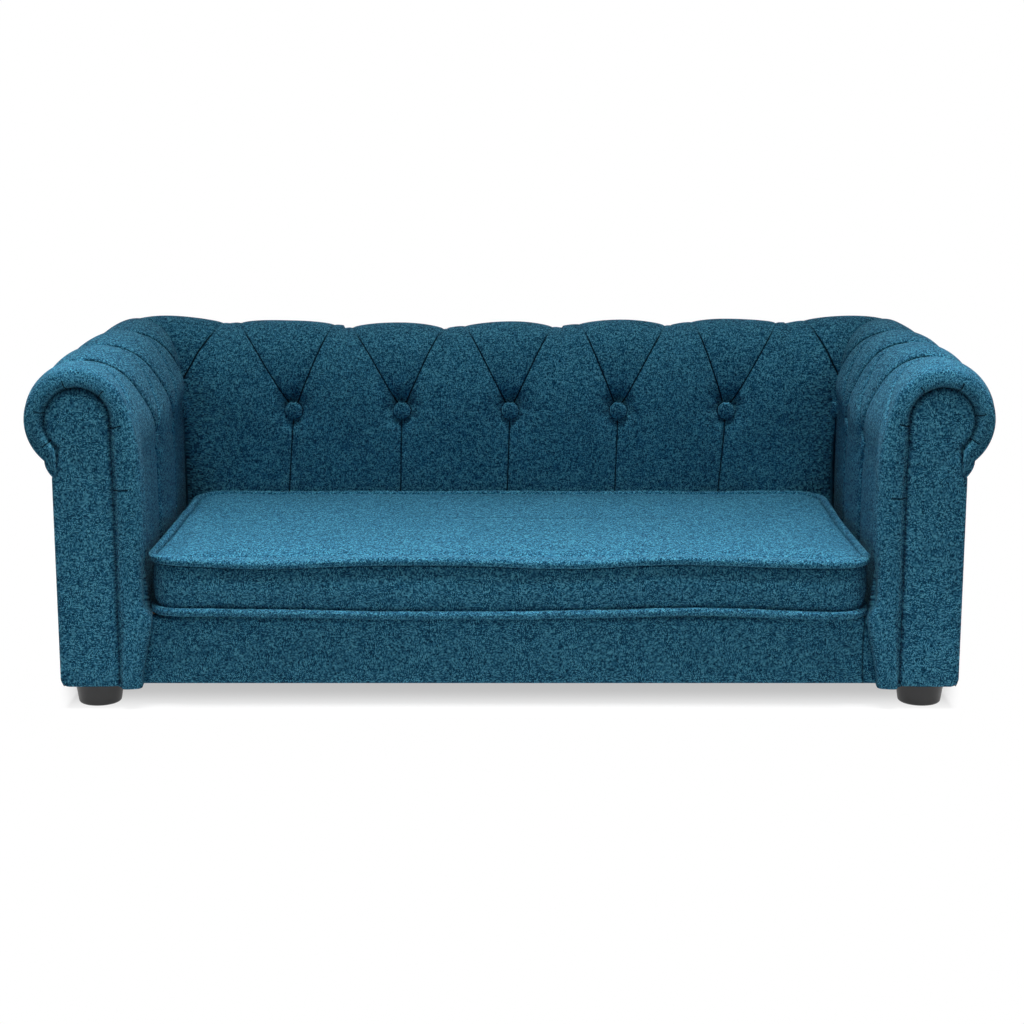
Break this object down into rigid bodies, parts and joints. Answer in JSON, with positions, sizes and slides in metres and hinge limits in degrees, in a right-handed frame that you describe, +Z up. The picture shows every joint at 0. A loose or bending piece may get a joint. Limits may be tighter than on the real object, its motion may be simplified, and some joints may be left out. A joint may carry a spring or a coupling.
{
  "type": "dog sofa bed",
  "caption": "Small rolled-arm pet sofa with button-tufted back and arms, a loose piped seat cushion, a plain front rail and round feet.",
  "frame": {"origin": "on the floor, under the middle of the sofa's overall box", "axes": "+X to the right as seen from the front, the open front faces -Y, +Z up"},
  "size_m": [0.9, 0.464, 0.325],
  "materials": {
    "upholstery": "matte",
    "foot_plastic": "satin",
    "timber": "matte",
    "plywood": "matte",
    "hardboard": "matte",
    "foam": "matte",
    "deck_cloth": "matte",
    "dust_cloth": "matte",
    "twine": "matte",
    "steel": "satin",
    "zip_tape": "matte",
    "zip_metal": "satin"
  },
  "bodies": {
    "sofa": {"arm_buttons_left": "upholstery", "arm_buttons_right": "upholstery", "arm_cover_left": "upholstery", "arm_cover_right": "upholstery", "arm_facing_left": "upholstery", "arm_facing_right": "upholstery", "arm_foam_left": "foam", "arm_foam_right": "foam", "arm_front_board_left": "plywood", "arm_front_board_right": "plywood", "arm_outside_left": "upholstery", "arm_outside_right": "upholstery", "arm_panel_left": "hardboard", "arm_panel_right": "hardboard", "arm_rail_left": "timber", "arm_rail_right": "timber", "arm_tack_rail_left": "timber", "arm_tack_rail_right": "timber", "back_button_1": "upholstery", "back_button_2": "upholstery", "back_button_3": "upholstery", "back_button_4": "upholstery", "back_button_5": "upholstery", "back_button_6": "upholstery", "back_button_7": "upholstery", "back_cover": "upholstery", "back_foam": "foam", "back_outside": "upholstery", "back_panel": "hardboard", "back_posts": "timber", "back_rail": "timber", "back_tack_rail": "timber", "base_back_rail": "timber", "base_cross_rails": "timber", "base_front_rail": "timber", "base_left_rail": "timber", "base_right_rail": "timber", "button_twines": "twine", "button_washers": "steel", "corner_blocks": "timber", "deck_board": "plywood", "deck_cover": "deck_cloth", "deck_foam": "foam", "dust_cover": "dust_cloth", "dust_cover_staples": "steel", "foot_front_left": "foot_plastic", "foot_front_right": "foot_plastic", "foot_rear_left": "foot_plastic", "foot_rear_right": "foot_plastic", "foot_screws": "steel", "front_rail_cover": "upholstery"},
    "cushion": {"cushion_bottom_panel": "upholstery", "cushion_boxing": "upholstery", "cushion_foam": "foam", "cushion_piping_bottom": "upholstery", "cushion_piping_top": "upholstery", "cushion_top_panel": "upholstery", "zip_tapes": "zip_tape"},
    "zip_slider": {"zip_slider": "zip_metal", "zip_pull": "zip_metal"}
  },
  "joints": [
    {"name": "cushion_lift", "type": "slide", "parent": "sofa", "child": "cushion", "axis": [0, 0, 1], "range_m": [0, 0.28]},
    {"name": "zip_slide", "type": "slide", "parent": "cushion", "child": "zip_slider", "axis": [-1, 0, 0], "range_m": [0, 0.472]}
  ]
}
